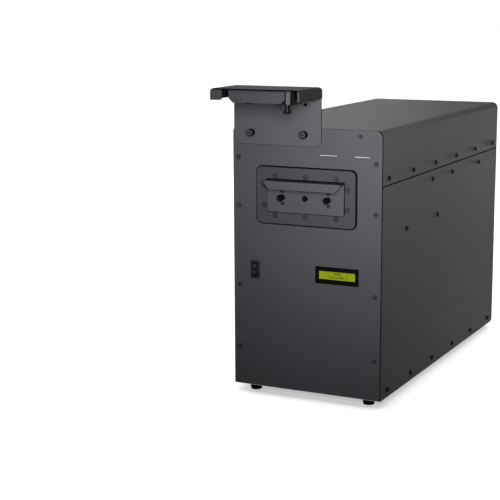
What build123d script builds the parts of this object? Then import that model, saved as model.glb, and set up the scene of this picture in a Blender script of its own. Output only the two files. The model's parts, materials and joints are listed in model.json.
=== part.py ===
from build123d import *

import math
import os

# A tall cabinet with a drawer for one drive, a pulse coil round the drawer's path, the capacitors and
# charging parts below and behind it, and a camera under a small hood that looks down on the open drawer.
# Millimetres. X runs to the right, Y from front to back, Z up from the surface that the feet stand on.

# Case
cabinet_width = 270.0
cabinet_depth = 635.0
panel_height = 450.0
panel_lift = 2.0
panel_thickness = 3.0
panel_corner = 11.0
sheet = 2.5
frame_sheet = 2.0
frame_inset = 2.4
frame_rail = 22.8
cover_bend = 10.0
seam_height = 360.0
seam_gap = 2.0
foot_height = 12.5
foot_radius = 11.0
foot_taper = 1.5
foot_inset_x = 29.0
foot_inset_y = 26.0

# Fits
sliding_clearance = 0.3
running_clearance = 0.05
hole_clearance = 0.2
fitted_gap = 0.2

# Screws
screw_radius = 2.0
screw_head_radius = 3.8
screw_head_height = 1.9
screw_head_round = 1.4
side_head_radius = 4.1
side_head_height = 3.0
side_head_round = 1.2
screw_length = 7.0
sunk_screw_length = 14.0
socket_radius = 1.6
socket_depth = 1.1
sunk_head_radius = 4.2
sunk_head_angle = 90.0
cap_head_radius = 2.9
cap_head_height = 2.2
cap_head_round = 0.4
foot_screw_head_radius = 5.0
foot_screw_head_height = 3.0
foot_screw_recess = 4.0
foot_screw_grip = 3.0

# Panel screw rows, measured from the panel's sides and lower edge
panel_column_inset = 10.0
panel_column_z = (67.0, 176.5, 314.0, 396.5)
panel_top_inset = 38.0
panel_top_z = 440.0

# Side and cover screw rows, measured from the front panel's face and from the seam, pan or shelf they hold
cover_screw_rise = 11.0
cover_row_start = 31.0
cover_row_pitch = 115.3
base_screw_rise = 13.7
base_row_start = 35.0
base_row_pitch = 113.0
long_row_count = 6
rail_screw_drop = 17.0
rail_row_y = (247.0, 355.5, 516.0)
shelf_screw_rise = 12.5
shelf_row_y = (116.5, 275.5)
base_flange = 25.0
rail_height = 44.0
rail_below_seam = 24.0

# Drawer surround and drawer front
drawer_x = 1.0
drawer_z = 335.5
bezel_border_x = 18.75
bezel_border_z = 19.0
bezel_corner = 9.0
bezel_thickness = 2.5
gasket_thickness = 1.5
gasket_rim = 2.2
bezel_row_inset = 14.25
bezel_row_margin = 4.5
bezel_side_inset = 10.5
bezel_side_margin = 4.85
front_width = 139.5
front_height = 55.0
front_gap = 1.0
front_sheet = 3.0
lip_reach = 16.5
lip_drop = 15.0
lip_end_cut = 9.75
lip_bend = 3.5
post_spacing = 83.4
post_drop = 2.2
post_radius = 5.0
post_reach = 7.7
post_bore_radius = 3.9
post_bore_depth = 5.0
post_spigot_radius = 2.5
drawer_screw_rise = 10.3
plug_radius = 5.0
plug_head = 1.2
plug_stem_radius = 3.5
cap_radius = 5.6
cap_thickness = 1.8
cap_edge = 0.5

# Drive tray: the pocket takes a 3.5 inch drive, 101.6 by 147 by 26.1
pocket_width = 104.0
pocket_length = 150.0
pocket_depth = 29.0
tray_wall = 6.0
tray_floor = 5.0
runner_width = 6.0
runner_height = 20.0
tray_lift = 0.7
drawer_travel = 160.0
tail_thickness = 12.0
tail_width = 150.0
tail_height = 16.0
tail_lift = 2.0
notch_length = 44.0
notch_depth = 13.0
pocket_corner = 3.0

# Coil
coil_length = 220.0
former_wall = 4.0
former_flange = 8.0
chamber_height = 44.0
winding_margin = 3.0
winding_corner = 14.0
cradle_width = 150.0
shelf_length = 590.0
shelf_height = 262.0
shelf_flange = 24.0

# Capacitor bank
capacitor_height = 180.0
capacitor_gap = 4.0
capacitor_side_room = 14.5
capacitor_columns = 3
capacitor_rows = 3
capacitor_bank_y = 220.0
terminal_radius = 5.0
terminal_height = 8.0
terminal_offset = 15.0
bus_width = 16.0
bus_thickness = 3.0
can_edge = 3.0
saddle_height = 70.0
saddle_sheet = 3.0
saddle_margin = 6.0

# Charging transformer
core_width = 130.0
core_height = 110.0
core_stack = 60.0
core_leg = 20.0
core_y = 500.0
winding_reach = 24.0

# Discharge switch and bleed resistors, on the rear of the coil shelf
sink_width = 150.0
sink_length = 90.0
sink_base = 8.0
sink_fin_height = 32.0
sink_fin = 3.0
sink_fin_count = 4
sink_fin_pitch = 12.0
sink_y = 450.0
thyristor_radius = 16.0
thyristor_height = 14.0
thyristor_spacing = 46.0
thyristor_land = 44.0
thyristor_cap_radius = 10.0
thyristor_cap_height = 5.0
resistor_radius = 9.0
resistor_length = 100.0
resistor_spacing = 24.0
resistor_count = 3
resistor_y = 535.0
resistor_foot = 10.0
resistor_lift = 4.0

# Display and switch
lcd_inset = 77.8
lcd_z = 206.0
lcd_width = 78.0
lcd_height = 29.0
lcd_proud = 1.6
lcd_step = 2.0
lcd_corner = 1.5
lcd_sleeve_reach = 1.0
window_width = 65.5
window_height = 14.0
window_recess = 0.8
window_thickness = 1.5
module_width = 84.0
module_height = 44.0
module_thickness = 6.0
module_board = 1.6
switch_inset = 40.9
switch_z = 205.0
switch_width = 17.0
switch_height = 32.0
switch_flange = 2.0
switch_corner = 2.0
switch_step = 1.8
switch_depth = 20.0
rocker_width = 11.0
rocker_height = 22.0
rocker_cavity_height = 25.4
rocker_cavity_depth = 11.0
rocker_side_gap = 0.3
rocker_pin_radius = 1.5
rocker_pin_length = 1.0
rocker_pin_depth = 4.0
rocker_tilt = 11.0
rocker_hollow = 1.0
rocker_end = 3.2
rocker_back = 4.5
rocker_back_height = 12.0
rocker_edge = 0.6
board_margin = 14.8
board_height = 100.0
board_thickness = 1.6
board_z = 110.0
board_inset = 8.0
standoff_radius = 3.5
standoff_length = 22.0
relay_size = 18.0
relay_height = 16.0
relay_pitch = 30.0
relay_count = 4

# Rear fan and mains inlet
fan_size = 80.0
fan_depth = 25.0
fan_bore = 37.0
fan_corner = 4.0
fan_z = 330.0
fan_hub_radius = 16.0
fan_blade_count = 7
fan_blade_gap = 1.5
fan_blade_thickness = 1.6
fan_blade_tilt = 35.0
fan_blade_depth = 14.0
fan_shaft_radius = 2.0
fan_boss_radius = 8.0
fan_boss_depth = 5.0
fan_strut_width = 5.0
fan_hub_depth = 16.0
fan_hub_gap = 1.0
fan_screw_radius = 2.2
guard_wire = 1.2
guard_thickness = 1.5
guard_tab_radius = 5.0
guard_ring_first = 12.0
guard_ring_pitch = 10.0
guard_ring_count = 3
guard_screw_pitch = 71.5
inlet_inset = 65.0
inlet_z = 70.0
inlet_width = 34.0
inlet_height = 28.0
inlet_flange = 4.0
inlet_flange_corner = 4.0
inlet_flange_margin = 8.0
inlet_depth = 24.0
inlet_recess_width = 26.0
inlet_recess_height = 18.0
inlet_recess_depth = 17.0
inlet_pin_thickness = 2.0
inlet_pin_height = 4.0
inlet_pin_spacing = 14.0
inlet_pin_length = 14.0
inlet_pin_drop = 4.0
inlet_earth_rise = 5.0
inlet_screw_margin = 4.0
vent_length = 60.0
vent_width = 4.0
vent_pitch = 9.0
vent_count = 7

# Camera bracket, hood and camera
bracket_shift = -3.0
bracket_width = 160.0
bracket_plate = 3.0
bracket_bottom = 420.0
bracket_corner = 10.0
knob_radius = 6.2
knob_length = 10.5
knob_step_radius = 4.8
knob_step_length = 2.0
knob_stem_radius = 2.5
knob_stem_length = 12.0
knob_socket_radius = 2.4
knob_socket_depth = 4.0
knob_groove_radius = 0.45
knob_groove_count = 28
knob_edge = 0.6
hood_reach = 87.0
hood_top = 518.0
hood_sheet = 2.0
hood_side_drop = 19.0
hood_rear_drop = 40.0
hood_bend = 6.0
hood_lip_left = 21.0
hood_lip_right = 4.0
hood_lip_corner = 4.0
hood_screw_spacing = 105.0
hood_screw_z = 488.5
hood_rear_margin = 8.0
name_plate_width = 101.0
name_plate_back = 8.0
name_plate_height = 21.0
name_plate_thickness = 2.0
name_plate_cut = 7.0
camera_shift = -2.5
camera_width = 31.0
camera_depth = 32.0
camera_height = 22.0
camera_edge = 1.0
lens_lead = 8.0
lens_mount_radius = 6.6
lens_mount_length = 1.6
lens_waist_radius = 5.6
lens_waist_length = 8.5
lens_ring_radius = 7.3
lens_ring_length = 5.0
lens_bore_radius = 5.0
lens_bore_depth = 4.0
lens_glass_thickness = 3.0
lens_glass_round = 2.5

# Places worked out from the sizes above
overall_depth = hood_reach + cabinet_depth + inlet_flange
front_y = hood_reach - overall_depth / 2
rear_y = front_y + cabinet_depth
half_width = cabinet_width / 2
panel_bottom = foot_height + panel_lift
panel_top = panel_bottom + panel_height
panel_middle = panel_bottom + panel_height / 2
panel_back = front_y + panel_thickness
shell_front = panel_back + frame_sheet
shell_rear = rear_y - panel_thickness - frame_sheet
shell_length = shell_rear - shell_front
shell_middle = (shell_front + shell_rear) / 2
seam_z = panel_bottom + seam_height
floor_top = foot_height + sheet
inner_half = half_width - sheet
shank_hole = screw_radius + hole_clearance
sunk_head_depth = (sunk_head_radius - screw_radius) / math.tan(math.radians(sunk_head_angle / 2))
side_top = seam_z - seam_gap
top_pitch = half_width - panel_top_inset
frame_hole = knob_stem_radius + running_clearance
frame_opening_width = cabinet_width - 2 * (frame_inset + frame_rail)
frame_opening_height = panel_height - 2 * (frame_inset + frame_rail)
drawer_centre = (drawer_x, panel_bottom + drawer_z)
surround_width = front_width + 2 * front_gap
surround_height = front_height + 2 * front_gap
bezel_width = surround_width + 2 * bezel_border_x
bezel_height = surround_height + 2 * bezel_border_z
lip_bottom_width = front_width - 2 * lip_end_cut
bezel_back = front_y - gasket_thickness
bezel_face = bezel_back - bezel_thickness
front_back = bezel_back - sliding_clearance
front_face = front_back - front_sheet
front_top = drawer_centre[1] + front_height / 2
front_bottom = drawer_centre[1] - front_height / 2
post_z = drawer_centre[1] - post_drop
tray_width = pocket_width + 2 * tray_wall
tray_length = pocket_length + 2 * tray_wall
tray_height = tray_floor + pocket_depth
chamber_width = tray_width + 2 * (runner_width + sliding_clearance)
chamber_floor = drawer_centre[1] - chamber_height / 2
mouth_width = chamber_width + 2 * front_gap
mouth_height = chamber_height + 2 * front_gap
runner_bottom = chamber_floor + sliding_clearance
tray_bottom = runner_bottom + tray_lift
tray_middle_y = front_back + tray_length / 2
coil_rear = panel_back + coil_length
tail_front = coil_rear + drawer_travel + sliding_clearance
tube_width = chamber_width + 2 * former_wall
tube_height = chamber_height + 2 * former_wall
shelf_z = panel_bottom + shelf_height
shelf_top = shelf_z + sheet
coil_bottom = drawer_centre[1] - bezel_height / 2
bank_y = front_y + capacitor_bank_y
bank_width = 2 * (inner_half - capacitor_side_room)
capacitor_pitch = (bank_width + capacitor_gap) / capacitor_columns
capacitor_radius = (capacitor_pitch - capacitor_gap) / 2
can_top = floor_top + capacitor_height
terminal_top = can_top + terminal_height
lcd_centre = (half_width - lcd_inset, panel_bottom + lcd_z)
lcd_sleeve_width = lcd_width - 2 * lcd_step
lcd_sleeve_height = lcd_height - 2 * lcd_step
lcd_back = panel_back + lcd_sleeve_reach
window_back = front_y - lcd_proud + window_recess + window_thickness
switch_x = switch_inset - half_width
switch_centre = (switch_x, panel_bottom + switch_z)
switch_body_width = switch_width - 2 * switch_step
switch_body_height = switch_height - 2 * switch_step
switch_face = front_y - switch_flange
rocker_pivot = (switch_face + rocker_pin_depth, switch_centre[1])
board_front = panel_back + standoff_length
board_width = frame_opening_width - 2 * board_margin
fan_centre = (0, panel_bottom + fan_z)
fan_rear = rear_y - panel_thickness
fan_front = fan_rear - fan_depth
inlet_x = half_width - inlet_inset
inlet_centre = (inlet_x, panel_bottom + inlet_z)
inlet_face = rear_y + inlet_flange
bracket_x = bracket_shift - top_pitch / 2
bracket_face = front_y - bracket_plate
hood_z = panel_bottom + hood_top
hood_under = hood_z - hood_sheet
hood_side_bottom = hood_z - hood_side_drop
hood_front = front_y - hood_reach
name_plate_face = hood_front + name_plate_back
camera_front = name_plate_face + name_plate_thickness
camera_x = drawer_x + camera_shift
camera_bottom = hood_under - camera_height
lens_y = camera_front + lens_lead


def facing_front(y):
    """The upright plane at depth y that faces the viewer, with X to the right and Z up."""
    return Plane.XZ.offset(-y)


def facing_rear(y):
    """The upright plane at depth y that faces backwards, with Z up and X running the other way."""
    return Plane(origin=(0, y, 0), x_dir=(-1, 0, 0), z_dir=(0, 1, 0))


def discs(plane, spots, radius):
    """Equal circles at the given places of a plane."""
    with BuildSketch(plane) as sketch:
        with Locations(*spots):
            Circle(radius)
    return sketch.sketch


def block(plane, centre, width, height, corner=0.0):
    """A rectangle at a place of a plane, with rounded corners where a radius is given."""
    with BuildSketch(plane) as sketch:
        with Locations(centre):
            if corner > 0:
                RectangleRounded(width, height, corner)
            else:
                Rectangle(width, height)
    return sketch.sketch


def arch(plane, foot, width, height, corner):
    """A rectangle that stands on the height foot, with its two top corners rounded."""
    with BuildSketch(plane) as sketch:
        with Locations((0, foot)):
            Rectangle(width, height, align=(Align.CENTER, Align.MIN))
        fillet(sketch.vertices().group_by(Axis.Y)[-1], corner)
    return sketch.sketch


def panel_outline(plane, inset):
    """The outline that the front and rear panels share, drawn in by the inset."""
    return arch(plane, panel_bottom + inset, cabinet_width - 2 * inset, panel_height - 2 * inset,
                panel_corner - inset)


def channel(plane, foot, width, height, wall):
    """An open channel section that stands on the height foot, with its two flanges up."""
    with BuildSketch(plane) as sketch:
        with Locations((0, foot)):
            Rectangle(width, height, align=(Align.CENTER, Align.MIN))
        with Locations((0, foot + wall)):
            Rectangle(width - 2 * wall, height, align=(Align.CENTER, Align.MIN), mode=Mode.SUBTRACT)
    return sketch.sketch


def headed_screw(head_radius, head_height, head_round, length):
    """A screw that stands on its plane: round head with a socket outward, shank inward."""
    with BuildPart() as screw:
        with BuildSketch(Plane.XY):
            Circle(head_radius)
        extrude(amount=head_height)
        fillet(screw.edges().group_by(Axis.Z)[-1], head_round)
        with BuildSketch(Plane.XY):
            Circle(screw_radius)
        extrude(amount=-length)
        with BuildSketch(Plane.XY.offset(head_height)):
            RegularPolygon(socket_radius, 6)
        extrude(amount=-socket_depth, mode=Mode.SUBTRACT)
    return screw


def placed(shape, plane, spots):
    """Copies of one shape at the given places of a plane, as separate solids."""
    with BuildPart() as group:
        with Locations(*[plane * Pos(*spot) for spot in spots]):
            add(shape.part)
    return group


def finish(piece, name):
    """Name a piece and write its file."""
    piece.part.label = name
    export_step(piece.part, f"parts/{name}.step")


os.makedirs("parts", exist_ok=True)

# Screw places, as X and Z on the panels and as Y and Z on the sides

right_face = Plane.YZ.offset(half_width)
column_x = half_width - panel_column_inset
column_spots = [(side * column_x, panel_bottom + z) for z in panel_column_z for side in (-1, 1)]
top_spots = [(step * top_pitch, panel_bottom + panel_top_z) for step in (-1, 0, 1)]
knob_spots = top_spots[:2]
front_spots = column_spots + top_spots[2:]
rear_spots = column_spots + top_spots
cover_spots = [(front_y + cover_row_start + i * cover_row_pitch, seam_z + cover_screw_rise)
               for i in range(long_row_count)]
base_spots = [(front_y + base_row_start + i * base_row_pitch, foot_height + base_screw_rise)
              for i in range(long_row_count)]
rail_spots = [(front_y + y, seam_z - rail_screw_drop) for y in rail_row_y]
shelf_spots = [(front_y + y, shelf_z + shelf_screw_rise) for y in shelf_row_y]
side_spots = base_spots + rail_spots + shelf_spots
foot_spots = [(side * (half_width - foot_inset_x), y) for side in (-1, 1)
              for y in (front_y + foot_inset_y, rear_y - foot_inset_y)]
bezel_row_x = front_width / 2 - bezel_row_inset
bezel_row_z = surround_height / 2 + bezel_row_margin
bezel_side_x = surround_width / 2 + bezel_side_margin
bezel_side_z = front_height / 2 - bezel_side_inset
bezel_offsets = [(step * bezel_row_x, side * bezel_row_z) for step in (-1, 0, 1) for side in (-1, 1)]
bezel_offsets += [(step * bezel_side_x, side * bezel_side_z) for step in (-1, 1) for side in (-1, 1)]
bezel_spots = [(drawer_centre[0] + x, drawer_centre[1] + z) for x, z in bezel_offsets]
post_spots = [(drawer_x + side * post_spacing / 2, post_z) for side in (-1, 1)]
drawer_screw_spots = [(x, z + side * drawer_screw_rise) for x, z in post_spots for side in (-1, 1)]
plug_spots = [(drawer_x, post_z)]
hood_screw_spots = [(bracket_x + side * hood_screw_spacing / 2, panel_bottom + hood_screw_z)
                    for side in (-1, 1)]
guard_spots = [(fan_centre[0] + i * guard_screw_pitch / 2, fan_centre[1] + j * guard_screw_pitch / 2)
               for i in (-1, 1) for j in (-1, 1)]
inlet_spots = [(inlet_x + side * (inlet_width / 2 + inlet_screw_margin), inlet_centre[1])
               for side in (-1, 1)]

# Case: base pan, sides, cover, rails, frames and panels

with BuildPart() as base_pan:
    extrude(channel(facing_front(shell_front), foot_height, 2 * inner_half, base_flange, sheet),
            amount=-shell_length)
    extrude(discs(right_face, base_spots, shank_hole), amount=-cabinet_width, mode=Mode.SUBTRACT)
    extrude(discs(Plane.XY.offset(foot_height), foot_spots, shank_hole), amount=sheet, mode=Mode.SUBTRACT)
finish(base_pan, "base_pan")

with BuildPart() as side_right:
    extrude(block(right_face, (shell_middle, (foot_height + side_top) / 2), shell_length,
                  side_top - foot_height), amount=-sheet)
    extrude(discs(right_face, side_spots, shank_hole), amount=-sheet, mode=Mode.SUBTRACT)
finish(side_right, "side_right")

with BuildPart() as side_left:
    mirror(side_right.part, about=Plane.YZ)
finish(side_left, "side_left")

with BuildPart() as top_cover:
    extrude(arch(facing_front(shell_front), seam_z, cabinet_width, panel_top - seam_z, cover_bend),
            amount=-shell_length)
    extrude(arch(facing_front(shell_front), seam_z, 2 * inner_half, panel_top - sheet - seam_z,
                 cover_bend - sheet), amount=-shell_length, mode=Mode.SUBTRACT)
    extrude(discs(right_face, cover_spots, shank_hole), amount=-cabinet_width, mode=Mode.SUBTRACT)
finish(top_cover, "top_cover")

with BuildPart() as cover_rails:
    extrude(block(Plane.YZ.offset(inner_half), (shell_middle, seam_z - rail_below_seam + rail_height / 2),
                  shell_length, rail_height), amount=-sheet)
    extrude(discs(right_face, cover_spots + rail_spots, shank_hole), amount=-2 * sheet, mode=Mode.SUBTRACT)
    mirror(about=Plane.YZ)
finish(cover_rails, "cover_rails")

for frame_name, near_y, holes in (("front_frame", panel_back, front_spots + knob_spots),
                                  ("rear_frame", shell_rear, rear_spots)):
    with BuildPart() as frame:
        extrude(panel_outline(facing_front(near_y), frame_inset), amount=-frame_sheet)
        extrude(block(facing_front(near_y), (0, panel_middle), frame_opening_width, frame_opening_height),
                amount=-frame_sheet, mode=Mode.SUBTRACT)
        extrude(discs(facing_front(near_y), holes, frame_hole), amount=-frame_sheet, mode=Mode.SUBTRACT)
    finish(frame, frame_name)

with BuildPart() as front_panel:
    extrude(panel_outline(facing_front(front_y), 0), amount=-panel_thickness)
    extrude(block(facing_front(front_y), drawer_centre, mouth_width, mouth_height),
            amount=-panel_thickness, mode=Mode.SUBTRACT)
    extrude(block(facing_front(front_y), lcd_centre, lcd_sleeve_width + 2 * hole_clearance,
                  lcd_sleeve_height + 2 * hole_clearance), amount=-panel_thickness, mode=Mode.SUBTRACT)
    extrude(block(facing_front(front_y), switch_centre, switch_body_width + 2 * hole_clearance,
                  switch_body_height + 2 * hole_clearance), amount=-panel_thickness, mode=Mode.SUBTRACT)
    extrude(discs(facing_front(front_y), front_spots + bezel_spots, shank_hole), amount=-panel_thickness,
            mode=Mode.SUBTRACT)
    extrude(discs(facing_front(front_y), knob_spots, knob_stem_radius + running_clearance),
            amount=-panel_thickness, mode=Mode.SUBTRACT)
finish(front_panel, "front_panel")

with BuildPart() as rear_panel:
    extrude(panel_outline(facing_front(fan_rear), 0), amount=-panel_thickness)
    extrude(discs(facing_front(fan_rear), [fan_centre], fan_bore), amount=-panel_thickness,
            mode=Mode.SUBTRACT)
    extrude(block(facing_front(fan_rear), inlet_centre, inlet_width + 2 * hole_clearance,
                  inlet_height + 2 * hole_clearance), amount=-panel_thickness, mode=Mode.SUBTRACT)
    extrude(discs(facing_front(fan_rear), rear_spots + guard_spots + inlet_spots, shank_hole),
            amount=-panel_thickness, mode=Mode.SUBTRACT)
    with BuildSketch(facing_front(fan_rear)):
        with Locations((-inlet_x, panel_bottom + inlet_z)):
            with GridLocations(0, vent_pitch, 1, vent_count):
                SlotOverall(vent_length, vent_width)
    extrude(amount=-panel_thickness, mode=Mode.SUBTRACT)
finish(rear_panel, "rear_panel")

# Feet and their screws

with BuildPart() as foot:
    with BuildSketch(Plane.XZ):
        with BuildLine():
            recess_radius = foot_screw_head_radius + hole_clearance
            Polyline((recess_radius, 0), (foot_radius - foot_taper, 0), (foot_radius, foot_height),
                     (shank_hole, foot_height), (shank_hole, foot_screw_recess),
                     (recess_radius, foot_screw_recess), close=True)
        make_face()
    revolve(axis=Axis.Z)

with BuildPart() as foot_screw:
    with BuildSketch(Plane.XY.offset(foot_screw_recess)):
        Circle(foot_screw_head_radius)
    extrude(amount=-foot_screw_head_height)
    with BuildSketch(Plane.XY.offset(foot_screw_recess)):
        Circle(screw_radius)
    extrude(amount=floor_top + foot_screw_grip - foot_screw_recess)

finish(placed(foot, Plane.XY, foot_spots), "feet")
finish(placed(foot_screw, Plane.XY, foot_spots), "foot_screws")

# Panel, side and cover screws

button_screw = headed_screw(screw_head_radius, screw_head_height, screw_head_round, screw_length)
side_screw = headed_screw(side_head_radius, side_head_height, side_head_round, screw_length)
cap_screw = headed_screw(cap_head_radius, cap_head_height, cap_head_round, screw_length)

with BuildPart() as sunk_screw:
    with BuildSketch(Plane.XZ):
        with BuildLine():
            Polyline((0, 0), (sunk_head_radius, 0), (screw_radius, -sunk_head_depth),
                     (screw_radius, -sunk_screw_length), (0, -sunk_screw_length), close=True)
        make_face()
    revolve(axis=Axis.Z)
    with BuildSketch(Plane.XY):
        RegularPolygon(socket_radius, 6)
    extrude(amount=-socket_depth, mode=Mode.SUBTRACT)

finish(placed(button_screw, facing_front(front_y), front_spots), "front_screws")
for name, spots in (("side_screws", side_spots), ("cover_screws", cover_spots)):
    with BuildPart() as pair:
        add(placed(side_screw, right_face, spots).part)
        mirror(about=Plane.YZ)
    finish(pair, name)

with BuildPart() as rear_screws:
    add(placed(button_screw, facing_rear(rear_y), [(-x, z) for x, z in rear_spots]).part)
    add(placed(button_screw, facing_rear(rear_y + guard_thickness), [(-x, z) for x, z in guard_spots]).part)
    add(placed(sunk_screw, facing_rear(inlet_face), [(-x, z) for x, z in inlet_spots]).part)
finish(rear_screws, "rear_screws")

# Drawer surround: gasket and plate round the mouth, held by countersunk screws

with BuildPart() as bezel_gasket:
    extrude(block(facing_front(front_y), drawer_centre, bezel_width + 2 * gasket_rim,
                  bezel_height + 2 * gasket_rim, bezel_corner + gasket_rim), amount=gasket_thickness)
    extrude(block(facing_front(front_y), drawer_centre, mouth_width, mouth_height),
            amount=gasket_thickness, mode=Mode.SUBTRACT)
    extrude(discs(facing_front(front_y), bezel_spots, shank_hole), amount=gasket_thickness,
            mode=Mode.SUBTRACT)
finish(bezel_gasket, "bezel_gasket")

with BuildPart() as drawer_bezel:
    extrude(block(facing_front(bezel_back), drawer_centre, bezel_width, bezel_height, bezel_corner),
            amount=bezel_thickness)
    extrude(block(facing_front(bezel_back), drawer_centre, surround_width, surround_height),
            amount=bezel_thickness, mode=Mode.SUBTRACT)
    with Locations(*[facing_front(bezel_face) * Pos(*spot) for spot in bezel_spots]):
        CounterSinkHole(shank_hole, sunk_head_radius, bezel_thickness, sunk_head_angle)
finish(drawer_bezel, "drawer_bezel")

finish(placed(sunk_screw, facing_front(bezel_face), bezel_spots), "bezel_screws")

# Drawer front: one bent sheet, a plate with a ledge along its top and a lip that hangs from the ledge

with BuildPart() as drawer_front:
    with BuildSketch(Plane.YZ.offset(drawer_x)) as section:
        with BuildLine():
            lip_face = front_face - lip_reach
            lip_back = lip_face + front_sheet
            lip_bottom = front_top - lip_drop
            ledge_under = front_top - front_sheet
            Polyline((front_face, front_bottom), (front_back, front_bottom), (front_back, front_top),
                     (lip_face, front_top), (lip_face, lip_bottom), (lip_back, lip_bottom),
                     (lip_back, ledge_under), (front_face, ledge_under), close=True)
        make_face()
        inner_corners = [v for v in section.vertices() if abs(v.Y - ledge_under) < front_sheet / 2]
        fillet(section.vertices().group_by(Axis.Y)[-1], lip_bend)
        fillet(inner_corners, lip_bend - front_sheet)
    extrude(amount=front_width / 2, both=True)
    with BuildSketch(facing_front(lip_face)):
        for side in (-1, 1):
            with BuildLine():
                Polyline((drawer_x + side * front_width / 2, front_top - lip_bend),
                         (drawer_x + side * front_width / 2, lip_bottom),
                         (drawer_x + side * lip_bottom_width / 2, lip_bottom), close=True)
            make_face()
    extrude(amount=-lip_reach + lip_bend, mode=Mode.SUBTRACT)
    extrude(discs(facing_front(front_face), post_spots, post_spigot_radius + running_clearance),
            amount=-front_sheet, mode=Mode.SUBTRACT)
    extrude(discs(facing_front(front_face), drawer_screw_spots, shank_hole), amount=-front_sheet,
            mode=Mode.SUBTRACT)
    extrude(discs(facing_front(front_face), plug_spots, plug_stem_radius + running_clearance),
            amount=-front_sheet, mode=Mode.SUBTRACT)
finish(drawer_front, "drawer_front")

with BuildPart() as post:
    with BuildSketch(Plane.XY):
        Circle(post_radius)
    extrude(amount=post_reach)
    with BuildSketch(Plane.XY.offset(post_reach)):
        Circle(post_bore_radius)
    extrude(amount=-post_bore_depth, mode=Mode.SUBTRACT)
    with BuildSketch(Plane.XY):
        Circle(post_spigot_radius)
    extrude(amount=-front_sheet - tray_wall / 2)
finish(placed(post, facing_front(front_face), post_spots), "drawer_posts")

with BuildPart() as drawer_caps:
    extrude(discs(facing_front(front_face - post_reach), post_spots, cap_radius), amount=cap_thickness)
    fillet(drawer_caps.edges().group_by(Axis.Y)[0], cap_edge)
    extrude(discs(facing_front(front_face - post_reach), post_spots,
                  post_bore_radius - running_clearance), amount=-post_bore_depth)
    extrude(discs(facing_front(front_face), plug_spots, plug_radius), amount=plug_head)
    extrude(discs(facing_front(front_face), plug_spots, plug_stem_radius), amount=-front_sheet)
finish(drawer_caps, "drawer_caps")

finish(placed(cap_screw, facing_front(front_face), drawer_screw_spots), "drawer_screws")

# Drawer tray with the drive's pocket, its runners and the tail bar that stops it

with BuildPart() as drawer_tray:
    extrude(block(Plane.XY.offset(tray_bottom), (drawer_x, tray_middle_y), tray_width, tray_length),
            amount=tray_height)
    extrude(block(Plane.XY.offset(tray_bottom + tray_floor), (drawer_x, tray_middle_y), pocket_width,
                  pocket_length, pocket_corner), amount=pocket_depth, mode=Mode.SUBTRACT)
    extrude(block(Plane.YZ.offset(drawer_x), (tray_middle_y, tray_bottom + tray_height), notch_length,
                  2 * notch_depth, notch_depth / 2), amount=tray_width, both=True, mode=Mode.SUBTRACT)
    extrude(discs(facing_front(front_back), post_spots, post_spigot_radius + running_clearance),
            amount=-tray_wall / 2, mode=Mode.SUBTRACT)
    extrude(discs(facing_front(front_back), drawer_screw_spots, shank_hole),
            amount=front_sheet - screw_length, mode=Mode.SUBTRACT)
finish(drawer_tray, "drawer_tray")

for name, side in (("runner_left", -1), ("runner_right", 1)):
    with BuildPart() as runner:
        runner_x = drawer_x + side * (tray_width + runner_width) / 2
        runner_y = (front_back + tail_front) / 2
        extrude(block(Plane.XY.offset(runner_bottom), (runner_x, runner_y), runner_width,
                      tail_front - front_back), amount=runner_height)
    finish(runner, name)

with BuildPart() as drawer_tail:
    extrude(block(Plane.XY.offset(runner_bottom + tail_lift), (drawer_x, tail_front + tail_thickness / 2),
                  tail_width, tail_thickness), amount=tail_height)
finish(drawer_tail, "drawer_tail")

# Coil: the former that guides the drawer, its winding, the cradle and the shelf

with BuildPart() as coil_former:
    extrude(block(facing_front(panel_back), drawer_centre, tube_width, tube_height), amount=-coil_length)
    for flange_y in (panel_back, coil_rear - former_flange):
        extrude(block(facing_front(flange_y), drawer_centre, bezel_width, bezel_height, bezel_corner),
                amount=-former_flange)
    extrude(block(facing_front(panel_back), drawer_centre, chamber_width, chamber_height),
            amount=-coil_length, mode=Mode.SUBTRACT)
    extrude(discs(facing_front(panel_back), bezel_spots, shank_hole), amount=-former_flange,
            mode=Mode.SUBTRACT)
finish(coil_former, "coil_former")

with BuildPart() as coil_winding:
    winding_front = panel_back + former_flange + fitted_gap
    winding_length = coil_length - 2 * (former_flange + fitted_gap)
    extrude(block(facing_front(winding_front), drawer_centre, bezel_width - 2 * winding_margin,
                  bezel_height - 2 * winding_margin, winding_corner), amount=-winding_length)
    extrude(block(facing_front(winding_front), drawer_centre, tube_width, tube_height),
            amount=-winding_length, mode=Mode.SUBTRACT)
finish(coil_winding, "coil_winding")

with BuildPart() as coil_cradle:
    for flange_y in (panel_back, coil_rear - former_flange):
        extrude(block(facing_front(flange_y), (drawer_x, (shelf_top + coil_bottom) / 2), cradle_width,
                      coil_bottom - shelf_top), amount=-former_flange)
finish(coil_cradle, "coil_cradle")

with BuildPart() as coil_shelf:
    extrude(channel(facing_front(shell_front), shelf_z, 2 * inner_half, shelf_flange, sheet),
            amount=-shelf_length)
    extrude(discs(right_face, shelf_spots, shank_hole), amount=-cabinet_width, mode=Mode.SUBTRACT)
finish(coil_shelf, "coil_shelf")

# Capacitor bank with its saddle and bus bars

with BuildPart() as capacitor:
    with BuildSketch(Plane.XY):
        Circle(capacitor_radius)
    extrude(amount=capacitor_height)
    fillet(capacitor.edges().group_by(Axis.Z)[-1], can_edge)
    with BuildSketch(Plane.XY.offset(capacitor_height)):
        with GridLocations(2 * terminal_offset, 0, 2, 1):
            Circle(terminal_radius)
    extrude(amount=terminal_height)

bank_x = [(i - (capacitor_columns - 1) / 2) * capacitor_pitch for i in range(capacitor_columns)]
row_y = [bank_y + (j - (capacitor_rows - 1) / 2) * capacitor_pitch for j in range(capacitor_rows)]
bank_spots = [(x, y) for x in bank_x for y in row_y]
finish(placed(capacitor, Plane.XY.offset(floor_top), bank_spots), "capacitors")

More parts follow.
